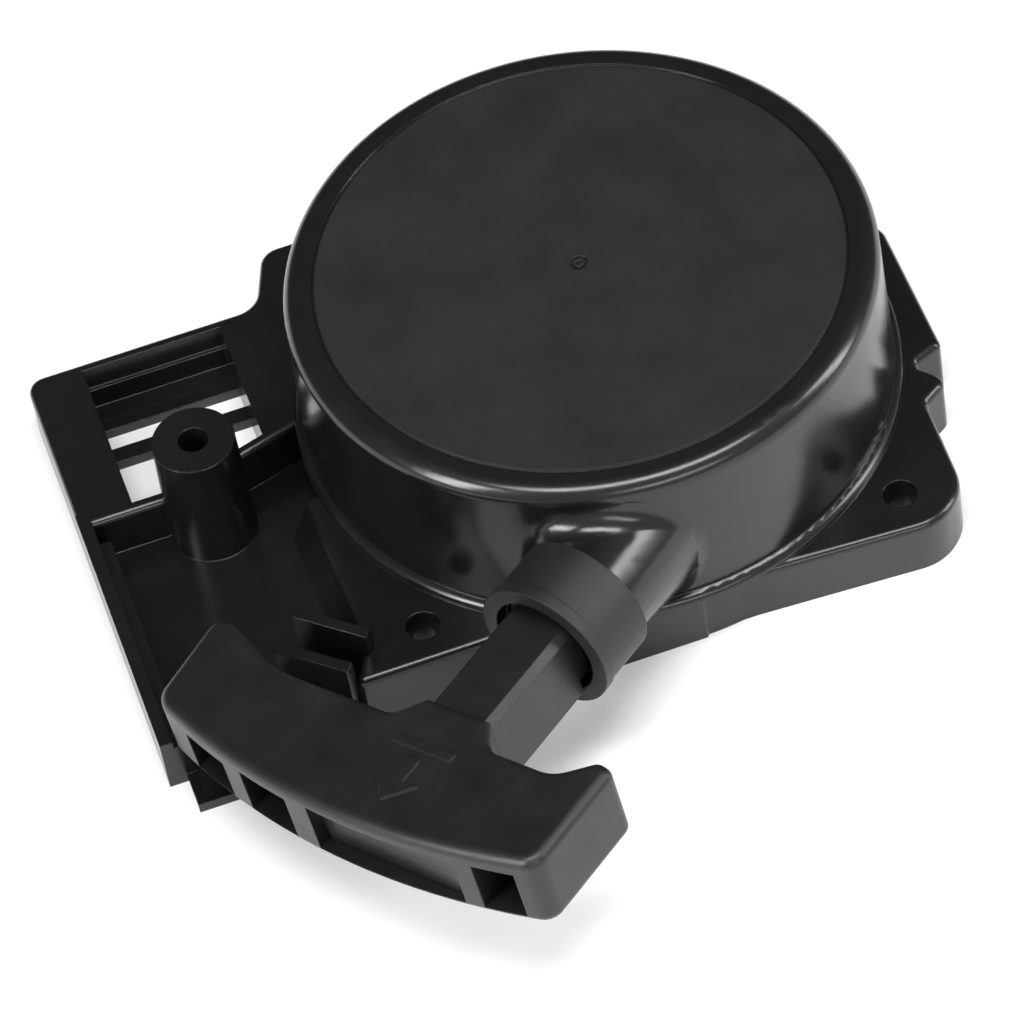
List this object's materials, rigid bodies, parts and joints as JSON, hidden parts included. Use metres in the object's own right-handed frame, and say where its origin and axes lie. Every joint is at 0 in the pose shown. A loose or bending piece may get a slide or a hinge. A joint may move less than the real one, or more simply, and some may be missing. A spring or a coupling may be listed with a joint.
{
  "type": "recoil starter",
  "caption": "Black moulded recoil starter with a round closed drum, pull grip on a cord, rope collar, bolt-on flange, air window and open tray.",
  "frame": {"origin": "crank axis where it crosses the engine mounting plane, which is the lowest face of the housing", "axes": "+Z along the crank axis away from the engine; +X from the crank axis away from the air window; +Y from the front edge, where the grip is, to the back edge"},
  "size_m": [0.148, 0.1643, 0.0415],
  "materials": {
    "black_housing": "injection-moulded glass-filled nylon, satin with a fine grain on the flat faces",
    "black_grip": "injection-moulded nylon, fine grain",
    "reel_nylon": "dark grey moulded nylon",
    "rope": "braided nylon cord",
    "spring_steel": "blued carbon spring steel strip",
    "zinc_steel": "zinc-plated pressed or turned steel",
    "hard_steel": "sintered steel, oiled",
    "brass": "turned brass, knurled"
  },
  "bodies": {
    "frame": {"housing": "black_housing", "rope_guide": "zinc_steel", "post_insert": "brass", "thrust_washer": "zinc_steel", "spacer_sleeve": "zinc_steel", "retainer_washer": "zinc_steel", "centre_screw": "zinc_steel", "friction_spring": "spring_steel", "rewind_spring": "spring_steel", "spring_cover": "zinc_steel", "cover_screws": "zinc_steel"},
    "reel_group": {"reel": "reel_nylon", "rope_wound": "rope", "reel_knot": "rope", "pawl_pins": "zinc_steel"},
    "guide": {"guide_plate": "zinc_steel"},
    "pawl_one": {"pawl_1": "hard_steel"},
    "pawl_two": {"pawl_2": "hard_steel"},
    "handle": {"grip": "black_grip", "grip_cover": "black_grip", "knot_washer": "zinc_steel", "grip_knot": "rope", "rope_run": "rope"}
  },
  "joints": [
    {"name": "handle_pull", "type": "slide", "parent": "frame", "child": "handle", "axis": [-0.8018, -0.5976, 0], "range_m": [0, 0.6], "stiffness_N_per_m": 12, "springref_m": -0.6, "deforming": ["rope_run"]},
    {"name": "reel_spin", "type": "hinge", "parent": "frame", "child": "reel_group", "pos_m": [0, 0, 0.025], "axis": [0, 0, 1], "range_deg": [-1440, 0], "deforming": ["rewind_spring"]},
    {"name": "guide_plate_turn", "type": "hinge", "parent": "reel_group", "child": "guide", "pos_m": [0, 0, 0.0155], "axis": [0, 0, 1], "range_deg": [0, 30]},
    {"name": "pawl_1_swing", "type": "hinge", "parent": "reel_group", "child": "pawl_one", "pos_m": [0.00494, 0.01148, 0.018], "axis": [0, 0, 1], "range_deg": [0, 40]},
    {"name": "pawl_2_swing", "type": "hinge", "parent": "reel_group", "child": "pawl_two", "pos_m": [-0.00494, -0.01148, 0.018], "axis": [0, 0, 1], "range_deg": [0, 40]}
  ],
  "couplings": [
    {"joint": "reel_spin", "follows": "handle_pull", "rad_per_m": -38.573},
    {"joint": "pawl_1_swing", "follows": "guide_plate_turn", "ratio": 1.3333},
    {"joint": "pawl_2_swing", "follows": "guide_plate_turn", "ratio": 1.3333}
  ]
}
